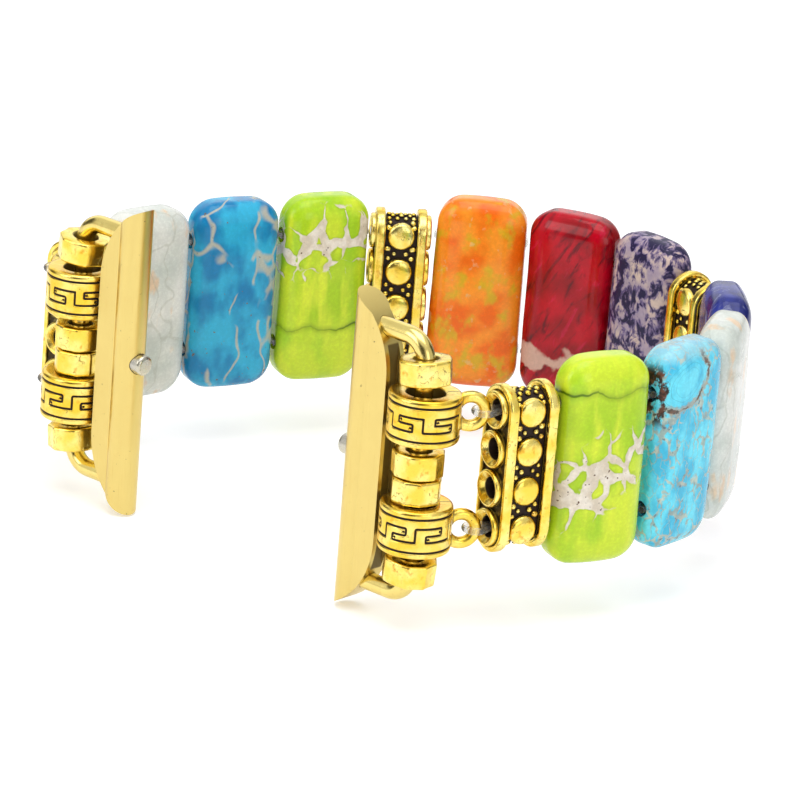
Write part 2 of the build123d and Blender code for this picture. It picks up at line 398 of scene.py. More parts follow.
def stone_material(name, pattern, clear, choices):
    """Waxed stone: the pattern gives the colour, how matt it is there, and how high it stands."""
    material, tree = emptied(bpy.data.materials.new(name))
    place = node(tree, "ShaderNodeAttribute", attribute_name="stone_place")["Vector"]
    colour, matt, height = pattern(place, **choices)
    speckle = cloud(place, 0.35, 9.0, detail=4.0, rough=0.7)
    colour = colour + colour * (step(speckle, 0.4, 0.75) * 0.16 - 0.03)
    waxed = 0.13
    surface(tree, height + cloud(place, 1.6, 4.0) * 0.35, 0.35, 0.06, {
        "Base Color": colour, "Roughness": matt * 0.3 + waxed + speckle * 0.07, "Coat Weight": 0.1,
        "Coat Roughness": 0.05, "Specular IOR Level": 0.26, "Subsurface Weight": clear,
        "Subsurface Radius": (1, 1, 0.8), "Subsurface Scale": 1.2 * mm})
    return material


def lime(place, seed, heart, slope, reach, crack):
    """Lime dye in zones of green and yellow, with a web of undyed stone that thins out from its heart."""
    x, _, z = axes(place)
    colour = tint(patches(place, 6.0, seed, 0.38, 0.62), "add422", "cfe636")
    colour = tint(patches(place, 2.6, seed + 2, 0.48, 0.72, (1.5, 1, 0.35), 3.0), colour, "dcec3a")
    colour = tint(patches(place, 3.6, seed + 5, 0.52, 0.74, (1, 1, 0.6)) * 0.55, colour, "76c41e")
    dip = abs(work("SINE", x * 0.62 + seed)) * -0.8 + (crack - 0.6)
    off = abs(z - (cloud(place, 3.4, seed + 3, (1, 1, 0.05), 3.0) * 2.4 + dip))
    deep = step(x, 1.0, -4.0) * 0.45 + 0.55
    line = step(off, deep * 0.24, 0.04) * deep
    # The dark line is the crack itself, darker to the left. The soft band of 0.65 mm round it is painted shade.
    colour = tint(most(line, step(off, 0.65, 0.0) * 0.35), colour, "527408")
    tilt = (cloud(place, 3.0, seed + 1) - 0.5) * 6.0 + (x * slope + heart[1])
    side = abs(x - heart[0]) * 0.22
    near = work("SUBTRACT", 1.0, (abs(z - tilt) + side) / reach, use_clamp=True)
    thick = (cloud(place, 0.8, seed + 9, detail=3.0) - 0.5) * 0.12 + near ** 2.0 * 0.29
    spare = web(place, 2.7, seed, (1, 1, 0.85), 0.42) - thick
    webbed = step(spare, 0.025, -0.01) * step(near, 0.03, 0.2)
    edge = step(spare, 0.1, 0.02) * step(near, 0.05, 0.3)
    colour = tint(edge * 0.35, colour, "7d9a1e")
    matrix = tint(patches(place, 1.1, seed, 0.4, 0.65, detail=4.0), "dacdb8", "f0e7d8")
    matrix = tint(patches(place, 0.42, seed + 7, 0.69, 0.74, detail=1.0), matrix, "5a3a20")
    return tint(webbed, colour, matrix), webbed, line * -1.5 + webbed * -0.5


def turquoise(place, seed):
    """Sky blue scales in a tan and brown web, with one large smooth lens near the top, and a painted pale sheen over
    the top end.
    """
    x, _, z = axes(place)
    colour = tint(patches(place, 1.8, seed, 0.38, 0.62, (1, 1, 0.5), 3.0), "44bee2", "70e4fa")
    wander = cloud(place, 3.2, seed + 3) * 2.4 - 1.2
    across, along = (x + 1.7) / 3.0, (x * -0.25 + z - 7.4) / 2.4
    lens = wander * 0.16 + (across * across + along * along) ** 0.5
    in_lens = step(lens, 1.1, 0.95)
    thick = patches(place, 2.4, seed + 4, 0.42, 0.7, detail=3.0) * 0.17
    fine = step(web(place, 1.05, seed, (1.15, 1, 0.55)) - thick, 0.055, -0.03)
    fine = fine * (1.0 - in_lens) * patches(place, 1.2, seed + 7, 0.3, 0.45)
    matrix = tint(patches(place, 0.9, seed + 2, 0.42, 0.62, detail=4.0), "ab9a7c", "dac7a2")
    matrix = tint(patches(place, 0.5, seed + 8, 0.6, 0.7), matrix, "74482a")
    colour = tint(fine * 0.68, colour, matrix)
    rings = step(abs(work("SINE", lens * 17.0)), 0.25, 0.05) * in_lens * step(lens, 0.45, 0.6)
    colour = tint(rings * 0.35, colour, "2b7c96")
    ragged = cloud(place, 0.6, seed + 5, detail=4.0, rough=0.7) * 0.5 - 0.25
    off = abs(lens - 1.05 + ragged)
    lower = step(across - along, -0.5, 0.1)
    colour = tint(step(off, 0.17, 0.06) * (lower * 0.75), colour, "b3a288")
    width = patches(place, 1.1, seed + 10, 0.42, 0.66, detail=3.0) * 0.09
    border = step(off - width, 0.02, -0.02) * lower
    strip = cloud(place, 0.9, seed + 6, detail=4.0, rough=0.6) * 2.2 + x
    edge = step(strip, -3.1, -3.35) * step(abs(z - 5.8), 3.6, 2.2)
    edge = edge * patches(place, 1.2, seed + 12, 0.44, 0.5, (1, 1, 0.6), 5.0, 0.7)
    dark = most(border * 0.85, edge)
    brown = tint(patches(place, 0.7, seed + 11, 0.45, 0.65, detail=3.0), "2c1f17", "6e4230")
    # Painted sheen: the top end is tinted pale blue-grey, as if lit from above.
    colour = tint(step(z, 8.6, 9.8) * 0.5, tint(dark, colour, brown), "b7cfd4")
    marks = most(fine, dark)
    return colour, marks, marks * -0.9


def pale(place, seed):
    """Milky grey-green stone with peach clouds inside it."""
    colour = tint(patches(place, 5.0, seed, 0.3, 0.7), "c6cdc5", "e4e5de")
    colour = tint(patches(place, 2.6, seed + 3, 0.56, 0.72, (1.6, 1, 0.7), 3.0) * 0.7, colour, "e6bf92")
    line = step(web(place, 4.0, seed, (1, 1, 0.4)), 0.035, 0.0)
    return tint(line * 0.35, colour, "a5a898"), line * 0.4, line * -0.3


def indigo(place, seed):
    """Deep blue stone with grey and white streaks and a few fine grains of gold."""
    colour = tint(patches(place, 3.0, seed, 0.34, 0.66, (1, 1, 0.6), 4.0), "192060", "39429a")
    streak = cloud(place, 1.7, seed + 2, (1.4, 1, 0.45), 5.0, 0.65, 1.2)
    streaked = step(streak, 0.56, 0.7)
    colour = tint(streaked * 0.75, colour, "8e93b8")
    colour = tint(patches(place, 0.3, seed + 6, 0.74, 0.8, detail=1.0), colour, "c2a258")
    return colour, streaked, streak * 0.2


def violet(place, seed):
    """Pinkish grey stone with purple and near-black mottling."""
    colour = tint(patches(place, 2.6, seed, 0.36, 0.64, detail=3.0), "cdb6ac", "a593a6")
    blotch = cloud(place, 1.35, seed + 2, (1.15, 1, 0.8), 5.0, 0.6, 0.5)
    purple = step(blotch, 0.44, 0.52)
    colour = tint(purple * 0.85, colour, "52427c")
    return tint(step(blotch, 0.5, 0.57), colour, "1e1640"), purple, blotch * -0.4


def crimson(place, seed):
    """Crimson dye over diagonal dark veins, with an undyed pinkish patch near the foot."""
    leaning = node(place.tree, "ShaderNodeMapping", {"Vector": place, "Rotation": (0, radians(28), 0)})
    colour = tint(patches(place, 4.0, seed, 0.36, 0.62), "92000e", "bc001c")
    vein = cloud(leaning, 1.7, seed + 1, (1.6, 1, 0.42), 4.0, 0.6, 0.8)
    colour = tint(step(vein, 0.5, 0.68) * 0.85, colour, "4a0210")
    colour = tint(step(vein, 0.42, 0.3) * 0.4, colour, "d8184c")
    low = cloud(place, 3.0, seed + 5, detail=3.0) * 7.0 + axes(place)["Z"]
    patch = step(low, -1.0, -1.7) * step(low, -3.4, -2.8)
    return tint(patch, colour, "cba393"), patch, vein * -0.5


def orange(place, seed):
    """Orange dye with olive-yellow blotches and small pale spots."""
    colour = tint(patches(place, 3.6, seed, 0.36, 0.62), "f06a0c", "fb962a")
    blotch = cloud(place, 2.2, seed + 3, (1, 1, 0.8), 3.0, 0.55)
    colour = tint(step(blotch, 0.5, 0.66) * 0.8, colour, "d2b022")
    spot = cloud(place, 1.1, seed + 6, detail=3.0)
    return tint(step(spot, 0.62, 0.74) * 0.5, colour, "dcc593"), step(spot, 0.62, 0.7), blotch * -0.3


def sky(place, seed):
    """Sky blue stone with a few thin pale veins and faint darker clouds."""
    colour = tint(patches(place, 2.8, seed, 0.36, 0.62, (1, 1, 0.6), 3.0), "167fb6", "36b4dc")
    vein = step(web(place, 5.6, seed, (1.3, 1, 0.5)), 0.045, 0.005) * patches(place, 3.0, seed + 1, 0.4, 0.5)
    colour = tint(vein * 0.8, colour, "c9c0a6")
    colour = tint(patches(place, 0.6, seed + 4, 0.68, 0.76), colour, "6d5a3c")
    return colour, vein, vein * -0.6


slab = slab_recipe()
# Each stone's name, heading in degrees, height in millimetres, taper and seed of its shape, how
# clear it is, its pattern, and what the pattern is given.
stones = [
    ("stone_lime_right", 69, 21.1, 0.05, 1.0, 0.0, lime,
     {"seed": 1.0, "heart": (-1.6, -1.0), "slope": 0.56, "reach": 4.6, "crack": 6.9}),
    ("stone_turquoise", 93, 20.9, -0.04, 2.4, 0.0, turquoise, {"seed": 2.0}),
    ("stone_white_right", 118, 20.5, 0.03, 3.1, 0.25, pale, {"seed": 3.0}),
    ("stone_indigo", 136, 20.2, 0.02, 4.7, 0.0, indigo, {"seed": 4.0}),
    ("stone_violet", 170, 20.6, 0.03, 5.2, 0.0, violet, {"seed": 5.0}),
    ("stone_crimson", 195, 20.7, -0.02, 6.6, 0.0, crimson, {"seed": 6.0}),
    ("stone_orange", 217, 20.8, 0.04, 7.3, 0.0, orange, {"seed": 7.0}),
    ("stone_lime_left", 247, 20.4, 0.03, 8.8, 0.0, lime,
     {"seed": 8.4, "heart": (1.0, 5.6), "slope": -0.2, "reach": 4.2, "crack": -4.0}),
    ("stone_sky", 249, 20.5, 0.02, 9.9, 0.0, sky, {"seed": 9.0}),
    ("stone_white_left", 260.5, 20.3, 0.03, 10.5, 0.25, pale, {"seed": 10.0}),
]
for name, heading, tall, taper, seed, clear, pattern, choices in stones:
    make(name, "_slab", slab, name, Height=tall * mm, Taper=taper, Seed=seed, Centre=tuple(middle(name)),
         Heading=radians(heading), Material=stone_material(name + "_dyed", pattern, clear, choices))


# Spacer bars. Four castings in soft metal, plated with yellow gold and then darkened, with the dark
# wiped off the high places. Each has two rims, a sunken core with domed bosses and fine grains
# on it, and four eyelets right through for the elastic.
inner_row = 1.96
hole_rows = [-outer_row, -inner_row, inner_row, outer_row]


def hoop_faces(around, count):
    """The faces of a closed ring of closed sections, with count points in each."""
    return [[i * count + j, (i + 1) % around * count + j, (i + 1) % around * count + (j + 1) % count,
             i * count + (j + 1) % count] for i in range(around) for j in range(count)]


def turned(profile, around, axis="Z"):
    """A ring turned on a lathe: the profile is a closed list of radius and height, in millimetres."""
    profile = np.array(profile, float)
    turns = np.arange(around) * 2 * pi / around
    ring = np.stack([np.outer(np.cos(turns), profile[:, 0]), np.outer(np.sin(turns), profile[:, 0]),
                     np.tile(profile[:, 1], (around, 1))], -1).reshape(-1, 3)
    return ring[:, {"X": [2, 0, 1], "Y": [1, 2, 0], "Z": [0, 1, 2]}[axis]], hoop_faces(around, len(profile))


def one_mesh(name, made):
    """Turns what is being made into a mesh with its faces pointing outwards."""
    bmesh.ops.recalc_face_normals(made, faces=made.faces)
    mesh = bpy.data.meshes.new(name)
    made.to_mesh(mesh)
    made.free()
    return mesh


def casting(name, shells, merge=0.0001):
    """One mesh from several closed shells in millimetres."""
    made = bmesh.new()
    for points, faces in shells:
        corners = [made.verts.new(Vector(p) * mm) for p in points]
        for face in faces:
            made.faces.new([corners[i] for i in face])
    bmesh.ops.remove_doubles(made, verts=made.verts, dist=merge * mm)
    bmesh.ops.dissolve_degenerate(made, edges=made.edges, dist=merge * mm)
    return one_mesh(name, made)


def round_ended(half_depth, half_height, on_round=22, on_straight=14):
    """Points and outward directions round an outline with two straight sides and two round ends."""
    straight = half_height - half_depth
    points, outward = [], []
    for centre, first in ((straight, 0), (-straight, pi)):
        for i in range(on_round + 1):
            turn = first + pi * i / on_round
            outward.append((cos(turn), sin(turn)))
            points.append((half_depth * cos(turn), centre + half_depth * sin(turn)))
    for last in (on_round, 2 * on_round + 1 + on_straight):
        a, b = np.array(points[last]), np.array(points[(last + 1) % len(points)])
        shares = [k / (on_straight + 1) for k in range(1, on_straight + 1)]
        points[last + 1:last + 1] = [tuple(a + (b - a) * share) for share in shares]
        outward[last + 1:last + 1] = [outward[last]] * on_straight
    return points, outward


def rim(start, end, thickness, half_depth, half_height, soft=0.24):
    """A bead round the outline, with softly rounded edges."""
    points, outward = round_ended(half_depth, half_height)
    section = []
    corners = [(end - soft, -soft), (start + soft, -soft), (start + soft, soft - thickness),
               (end - soft, soft - thickness)]
    for quarter, (x, r) in enumerate(corners):
        turns = [(quarter + k / 4) * pi / 2 for k in range(5)]
        section += [(x + soft * cos(turn), r + soft * sin(turn)) for turn in turns]
    ring = [(x, p[0] + r * n[0], p[1] + r * n[1]) for p, n in zip(points, outward) for x, r in section]
    return ring, hoop_faces(len(points), len(section))


def pierced_plate(start, end, half_depth, half_height, hole=1.5, around=28):
    """A plate with the round-ended outline and the four holes."""
    sheet = bmesh.new()
    turns = [2 * pi * i / around for i in range(around)]
    loops = [round_ended(half_depth, half_height)[0]]
    loops += [[(hole * cos(turn), row + hole * sin(turn)) for turn in turns] for row in hole_rows]
    for loop in loops:
        corners = [sheet.verts.new((start, *p)) for p in loop]
        for a, b in zip(corners, corners[1:] + corners[:1]):
            sheet.edges.new((a, b))
    bmesh.ops.triangle_fill(sheet, edges=sheet.edges, use_beauty=True)
    pulled = bmesh.ops.extrude_face_region(sheet, geom=sheet.faces[:])["geom"]
    pulled = [g for g in pulled if isinstance(g, bmesh.types.BMVert)]
    bmesh.ops.translate(sheet, verts=pulled, vec=(end - start, 0, 0))
    sheet.verts.index_update()
    points, faces = [tuple(v.co) for v in sheet.verts], [[v.index for v in f.verts] for f in sheet.faces]
    sheet.free()
    return points, faces


def spacer_casting():
    rims = {"thickness": 0.62, "half_depth": 2.5, "half_height": 8.38}
    ends = {"half_depth": 2.2, "half_height": 8.08}
    shells = [rim(1.7, 2.7, **rims), rim(-2.7, -1.7, **rims)]
    shells += [pierced_plate(-1.75, 1.75, half_depth=1.7, half_height=7.58)]
    shells += [pierced_plate(1.72, 2.38, **ends), pierced_plate(-2.38, -1.72, **ends)]
    mouth = [(1.66, 2.2), (1.84, 2.4), (1.85, 3.0), (1.8, 3.13), (1.7, 3.2), (1.58, 3.2), (1.5, 3.15),
             (1.1, 2.72), (1.0, 2.6)]
    eyelet, eyelet_faces = turned(mouth + [(r, -x) for r, x in reversed(mouth)], 44, "X")
    dome = [(0.0, 0.0), (1.45, 0.0), (1.45, 0.22), (1.42, 0.36), (1.33, 0.5), (1.15, 0.61), (0.85, 0.69),
            (0.45, 0.74), (0.0, 0.75)]
    boss, boss_faces = turned(dome, 36, "Y")
    boss_foot = 1.66
    for row in hole_rows:
        shells.append((eyelet + np.array([0, 0, row]), eyelet_faces))
        for side in (1, -1):
            shells.append((boss * np.array([1, side, 1]) + np.array([0, side * boss_foot, row]), boss_faces))
    return casting("spacer_casting", shells)


def grain_seats(out=1.74, by_rim=1.36):
    """Where the grains sit: two triangles of three between the bosses, and rows over both ends."""
    seats = []
    for side in (1, -1):
        for gap in (inner_row - outer_row, 0, outer_row - inner_row):
            for x, z in ((1.22, 0.5), (1.22, -0.5), (0.62, 0)):
                seats += [(x, side * out, gap + z), (-x, side * out, gap + z)]
        for end in (1, -1):
            seats += [(x, side * out, end * (outer_row - 1.42)) for x in (by_rim, -by_rim)]
    first, two, three, four = (by_rim, -by_rim), (1.2, -1.2), (0.9, 0, -0.9), (1.3, 0.45, -0.45, -1.3)
    rows = {28: first, 46: two, 64: four, 82: three, 98: four, 116: three, 134: two, 152: first}
    for end in (1, -1):
        for turn, row in rows.items():
            y, z = out * cos(radians(turn)), outer_row + out * sin(radians(turn))
            seats += [(x, y, end * z) for x in row]
    mesh = bpy.data.meshes.new("grain_seats")
    mesh.from_pydata([tuple(np.array(seat) * mm) for seat in seats], [], [])
    return put("grain_seats", mesh)


def shape_of(size, name):
    """The mesh of the object that a recipe is given under this name."""
    return node(size.tree, "GeometryNodeObjectInfo", {"Object": size[name]})["Geometry"]


def joined(*shapes):
    whole = node(shapes[0].tree, "GeometryNodeJoinGeometry")
    for shape in shapes:
        whole.tree.links.new(shape.socket, whole.socket.node.inputs[0])
    return whole


def lumpy(size, shape, scale):
    """Lets every point wander a little, as on a cast surface."""
    return moved(shape, Offset=(ripple(size, scale)["Color"] - 0.5) * size["Uneven"])


def spacer_recipe():
    size = recipe("grained_spacer", {"Grain Radius": 0.28 * mm, "Uneven": 0.06 * mm, "Seats": "Object"})
    grain = node(size.tree, "GeometryNodeMeshIcoSphere", {"Radius": size["Grain Radius"], "Subdivisions": 2})
    swell = node(size.tree, "FunctionNodeRandomValue", {2: 0.82, 3: 1.12, "Seed": 3}, data_type="FLOAT")[1]
    grains = set_on(shape_of(size, "Seats"), grain, Scale=swell)
    return finish_recipe(size, lumpy(size, joined(size["Geometry"], grains), 700.0), 50, "casting_place")


def gold_material(name, place_name, dark_of=None, colour="efcd50", shine=0.18, dents=0.5, blotch=1.0,
                  tool_marks=(1, 1, 1)):
    """Yellow gold plate over cast metal, with scratches and dents, dark patina where dark_of says, and painted
    highlights and reflections laid on in soft patches.
    """
    material, tree = emptied(bpy.data.materials.new(name))
    on_piece = node(tree, "ShaderNodeAttribute", attribute_name=place_name)["Vector"]
    seed = node(tree, "ShaderNodeAttribute", attribute_name="piece_seed")["Fac"]
    place = on_piece + vector(seed * 13.0, seed)
    broad = cloud(place, 2.2, 1.0, detail=3.0)
    fine = cloud(place, 0.28, 2.0, tool_marks, 3.0, 0.6)
    # Painted highlights: broad pale yellow patches where the noise is high.
    gold = tint(step(broad, 0.35, 0.7) * (0.8 * blotch), colour, "fff09a")
    gold = tint(step(fine, 0.6, 0.78) * 0.35, gold, "b98a1e")
    # Orange-brown patches: partly small tarnish spots, partly painted orange reflections of the surroundings.
    gold = tint(patches(place, 0.8, 8.0, 0.58, 0.7, (1, 1, 0.8), 3.0, 0.6) * (0.6 * blotch), gold, "d08a1a")
    scratched = step(web(place, 1.3, 5.0, (1.4, 1, 0.4), 0.9), 0.024, 0.004) * step(broad, 0.5, 0.6)
    scratched = scratched * patches(place, 0.55, 9.0, 0.46, 0.54, detail=1.0) * blotch
    gold = tint(scratched * 0.55, gold, "7a4a10")
    pits = patches(place, 0.5, 6.0, 0.7, 0.78, rough=0.7)
    dark = pits * 0.55
    if dark_of:
        dark = most(dark, dark_of(on_piece))
    dented = cloud(place, 0.9, 3.0, detail=1.0) * blotch + fine * 0.25
    surface(tree, dented - (scratched * 0.6 + pits), dents, 0.05, {
        "Base Color": tint(dark, gold, "241106"), "Metallic": dark * -0.6 + 1.0,
        "Roughness": fine * 0.12 + shine + dark * 0.35})
    return material


def spacer_dark(place):
    """Patina stays on the core between the rims, on the sunken end faces, and in the eyelets."""
    x, y, z = axes(place)
    along, up = abs(x), abs(z)
    beyond = most(up - outer_row, 0.0)
    ragged = cloud(place, 0.5, 2.5) * 0.14 - 0.07
    out = (y * y + beyond * beyond) ** 0.5 + ragged
    on_core = step(along, 1.8, 1.72)
    core = on_core * step(out, 1.93, 1.8)
    face = step(along, 1.74, 1.8) * step(out, 2.05, 1.92) * step(along + ragged, 2.78, 2.5)
    face = face * (patches(place, 0.7, 3.5, 0.5, 0.7, detail=3.0) * -0.35 + 0.95)
    off = work("MINIMUM", abs(up - inner_row), abs(up - outer_row))
    from_hole = (y * y + off * off) ** 0.5
    bore = step(from_hole, 1.14, 1.02) * step(along, 2.9, 2.7)
    foot = step(abs(from_hole - 1.5), 0.16, 0.05) * step(out, 1.98, 1.86) * on_core
    return most(core, face, bore, foot)


spacer_cast, grained_spacer, grain_places = spacer_casting(), spacer_recipe(), grain_seats()
antique_gold = gold_material("antique_gold_cast", "casting_place", spacer_dark, dents=0.9)
# Each spacer's name, heading in degrees, and seed.
spacers = [("spacer_right_front", 73, 1.0), ("spacer_right_back", 160, 2.0), ("spacer_left_back", 226, 3.0),
           ("spacer_left_front", 276.8, 4.0)]
for name, heading, seed in spacers:
    make(name, "_cast", grained_spacer, "antique_gold", spacer_cast, Seed=seed, Seats=grain_places,
         Centre=tuple(middle(name)), Heading=radians(heading), Material=antique_gold)
bpy.data.objects.remove(grain_places)


# Elastic. Two clear cords of 0.7 mm, each doubled through one row of holes, and turned round the
# wire of a bail's loop at both ends. They show only between the stones and at the loops.
cord_radius = 0.35
beside = 0.37    # from the middle of a hole to each of its two strands
short_of = 0.05    # from the end of a strand to its link's hinge
stone_length, spacer_length = 10.0, 6.4


def elastic_material():
    material, tree = emptied(bpy.data.materials.new("clear_elastic"))
    place = node(tree, "ShaderNodeTexCoord")["Object"] * 1000.0
    haze = cloud(place, 0.9, 1.0, detail=3.0)
    surface(tree, cloud(place, 0.25, 3.0), 0.3, 0.03, {
        "Base Color": tint(haze, "eeede8", "fcfbf7"), "Roughness": haze * 0.12 + 0.06,
        "Transmission Weight": 0.92, "IOR": 1.34})
    return material


def cord_run(length, row, side):
    """A straight strand inside one link, from its start, in millimetres."""
    return [(short_of, side * beside, row), (length - short_of, side * beside, row)]


def cord_turn(length, row):
    """One strand through the end spacer, round the loop's wire and back. The points of its spline."""
    round_wire, slope, wire_x, eyelet_x, bends = 0.98, radians(32), -0.9, 1.6, 5
    meet = wire_x + (round_wire / cos(slope) - beside) / tan(slope)
    swing = (pi + 2 * slope) / bends
    corner = round_wire / cos(swing / 2)
    points = [(length - short_of, beside), (eyelet_x, beside), (meet, beside)]
    for k in range(bends):
        turn = pi / 2 - slope + swing * (k + 0.5)
        points.append((wire_x + corner * cos(turn), corner * sin(turn)))
    points += [(x, -y) for x, y in reversed(points[:3])]
    return [(x, y, row) for x, y in points]


def strand_curve(name, centre, heading, length, runs):
    """The strands of one link as smooth curves in their place."""
    curve = bpy.data.curves.new(name, "CURVE")
    curve.dimensions = "3D"
    curve.bevel_depth, curve.bevel_resolution = cord_radius * mm, 5
    curve.resolution_u, curve.use_fill_caps = 8, True
    start = Matrix.Translation((-length / 2 * mm, 0, 0))
    move = Matrix.Translation(centre) @ Matrix.Rotation(radians(heading), 4, "Z") @ start
    for run in runs:
        spline = curve.splines.new("NURBS")
        spline.points.add(len(run) - 1)
        for point, place in zip(spline.points, run):
            point.co = (*(move @ (Vector(place) * mm)), 1)
        spline.order_u = min(3, len(run))
        spline.use_endpoint_u = True
    return put(name, curve)


clear_elastic = elastic_material()
links = [(name, heading, stone_length) for name, heading, *_ in stones]
links += [(name, heading, spacer_length) for name, heading, _ in spacers]
for name, heading, length in links:
    runs = [cord_run(length, row, side) for row in (-outer_row, outer_row) for side in (-1, 1)]
    if name.endswith("_front"):
        runs = [cord_turn(length, row) for row in (-outer_row, outer_row)]
        heading += 180 if name == "spacer_left_front" else 0
    strands = strand_curve("cord_" + name + "_strands", middle(name), heading, length, runs)
    strands.data.materials.append(clear_elastic)
    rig.ride(strands, name)
    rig.replaces(strands, "cord_" + name)
    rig.slot(strands, "elastic_cord")


# Bails. Four short cast tubes that hang on the wire bars, each with a loop on its outer side for
# the elastic. Two lines and a row of square hooks are engraved round each one and filled with
# dark patina. The lower bails carry the row upside down.
bail_radius = 3.5
mid_height = 15.896 * mm


def double_ended(wall, foot, inside):
    """A tube's profile: its outer wall, its rounded foot, the bore, and the foot again at the top."""
    return wall + foot + inside + [(r, -z) for r, z in reversed(foot)]


def bail_casting():
    bore, half = 1.85, 2.35
    wall = [(bail_radius, z) for z in np.linspace(2.0, -2.0, 80)]
    foot = [(3.46, -2.18), (3.36, -2.29), (3.2, -half), (2.9, -half), (2.3, -half), (2.1, -2.31),
            (1.94, -2.22), (bore, -2.06)]
    profile = double_ended(wall, foot, [(bore, -1.0), (bore, 0.0), (bore, 1.0)])
    return casting("bail_casting", [turned(profile, 300)])


def bail_loop(lift, out=4.4, radius=1.45, half_width=0.58, half_depth=0.55, around=18):
    """The loop's wire, a little flattened, standing on the tube's side."""
    turns = np.arange(around) * 2 * pi / around
    wire = [(radius + half_width * cos(turn), half_depth * sin(turn)) for turn in turns]
    points, faces = turned(wire, 56, "Y")
    return points + np.array([out, 0, lift]), faces


def hook_row(flip, stems, soft=0.13, past_seam=0.5):
    """The engraved lines, unrolled flat from the loop: two plain lines, and a square hook after each
    stem but the last, with a dot in both of its bends."""
    top, foot = 0.64, -0.73
    lines = [[(-past_seam, z), (2 * pi * bail_radius + past_seam, z)] for z in (1.63, -1.68)]
    for start, end in zip(stems, stems[1:]):
        start, end = (bail_radius * radians(turn) for turn in (start, end))
        back, front = start + 0.27 * (end - start), start + 0.71 * (end - start)
        hook = [(start, top), (start, foot), (front, foot), (front, 0.0), (back, 0.0), (back, top),
                (end, top), (end, 0.5)]
        hook = [np.array((x, flip * z)) for x, z in hook]
        line = [tuple(hook[0])]
        for a, b, c in zip(hook, hook[1:], hook[2:]):
            first = b + (a - b) / np.linalg.norm(a - b) * soft
            last = b + (c - b) / np.linalg.norm(c - b) * soft
            line += [tuple(first), tuple((first + last + 2 * b) / 4), tuple(last)]
        lines.append(line)
        for x, z in ((front - 0.26, -0.36), (back + 0.24, 0.33)):
            lines.append([(x, flip * z), (x + 0.04, flip * z)])
    lines.append([(bail_radius * radians(stems[-1]), flip * z) for z in (top, foot)])
    starts = np.cumsum([0] + [len(line) for line in lines])
    mesh = bpy.data.meshes.new("hook_row")
    mesh.from_pydata([(x * mm, z * mm, 0) for line in lines for x, z in line],
                     [(s + i, s + i + 1) for s, line in zip(starts, lines) for i in range(len(line) - 1)], [])
    return put("hook_row", mesh)


def bail_recipe():
    size = recipe("engraved_bail", {
        "Radius": bail_radius * mm, "Line Width": 0.3 * mm, "Line Depth": 0.14 * mm, "Uneven": 0.04 * mm,
        "Lines": "Object", "Loop": "Object"})
    tree = size.tree
    at = node(tree, "GeometryNodeInputPosition")
    x, y, z = axes(at)
    flat = vector((work("ARCTAN2", -y, -x) + pi) * size["Radius"], z)
    near = node(tree, "GeometryNodeProximity", {"Geometry": shape_of(size, "Lines"), "Sample Position": flat},
                target_element="EDGES")
    half = size["Line Width"] * 0.5
    outward = at * (1, 1, 0)
    on_wall = work("GREATER_THAN", work("LENGTH", outward)["Value"], size["Radius"] * 0.99)
    cut = step(near["Distance"], half, half * 0.5) * on_wall
    noted = node(tree, "GeometryNodeStoreNamedAttribute", {
        "Geometry": size["Geometry"], "Name": "engraved", "Value": cut}, data_type="FLOAT", domain="POINT")
    tube = moved(noted, Offset=work("NORMALIZE", outward) * -(cut * size["Line Depth"]))
    return finish_recipe(size, lumpy(size, joined(tube, shape_of(size, "Loop")), 420.0), 70, "bail_place")


def bail_dark(place):
    """Patina fills the engraving, the bore and the corner where the loop meets the tube."""
    lines = node(place.tree, "ShaderNodeAttribute", attribute_name="engraved")["Fac"]
    x, y, z = axes(place)
    radius = (x * x + y * y) ** 0.5
    seam = step(abs(y + 0.15), 0.09, 0.03) * step(z, 2.2, 2.3) * step(x, 1.9, 2.1)
    by_loop = step(x, 3.2, 3.4) * step(abs(y), 0.75, 0.45) * step(abs(z), 2.1, 1.7)
    corner = by_loop * step(radius, 3.7, 3.55) * 0.7
    return most(step(lines, 0.25, 0.75), step(radius, 1.98, 1.88) * 0.8, seam, corner)


bail_tube, engraved_bail = bail_casting(), bail_recipe()
bail_gold = gold_material("antique_gold_bail", "bail_place", bail_dark, colour="ecc540", blotch=0.7)
bars = {side: middle("ring_high_" + side) for side in ("right", "left")}
hook_stems = {"upper": (31, 87, 143, 199.5, 257, 327.5), "lower": (33, 90, 148, 205.5, 258.5, 323)}
bail_rise, bail_slack, loop_lift = 5.5, 0.2, 0.38
for side, heading, seed in (("right", 54, 1.0), ("left", 162, 3.0)):
    pull = Vector((cos(radians(heading)), sin(radians(heading)), 0)) * bail_slack * mm
    for level, flip in (("upper", 1), ("lower", -1)):
        centre = Vector((bars[side].x, bars[side].y, mid_height + flip * bail_rise * mm)) + pull
        loop = put("loop", casting("loop", [bail_loop(flip * loop_lift)]))
        row = hook_row(flip, hook_stems[level])
        make("bail_" + level + "_" + side, "_cast", engraved_bail, "antique_gold", bail_tube,
             Seed=seed + flip, Lines=row, Loop=loop, Centre=tuple(centre), Heading=radians(heading),
             Material=bail_gold)
        bpy.data.objects.remove(loop)
        bpy.data.objects.remove(row)


# Rings. Eight thick little washers cut from cast tube, tumbled and plated. Their sides have
# shallow flats, and the edges are worn bright.
def ring_casting():
    outer, bore, half = 2.55, 1.2, 1.25
    wall = [(outer, z) for z in np.linspace(0.95, -0.95, 13)]
    foot = [(2.52, -1.1), (2.43, -1.2), (2.3, -half), (1.8, -half), (1.4, -half), (1.28, -1.21),
            (bore, -1.12)]
    return casting("ring_casting", [turned(double_ended(wall, foot, [(bore, 0)]), 120)])


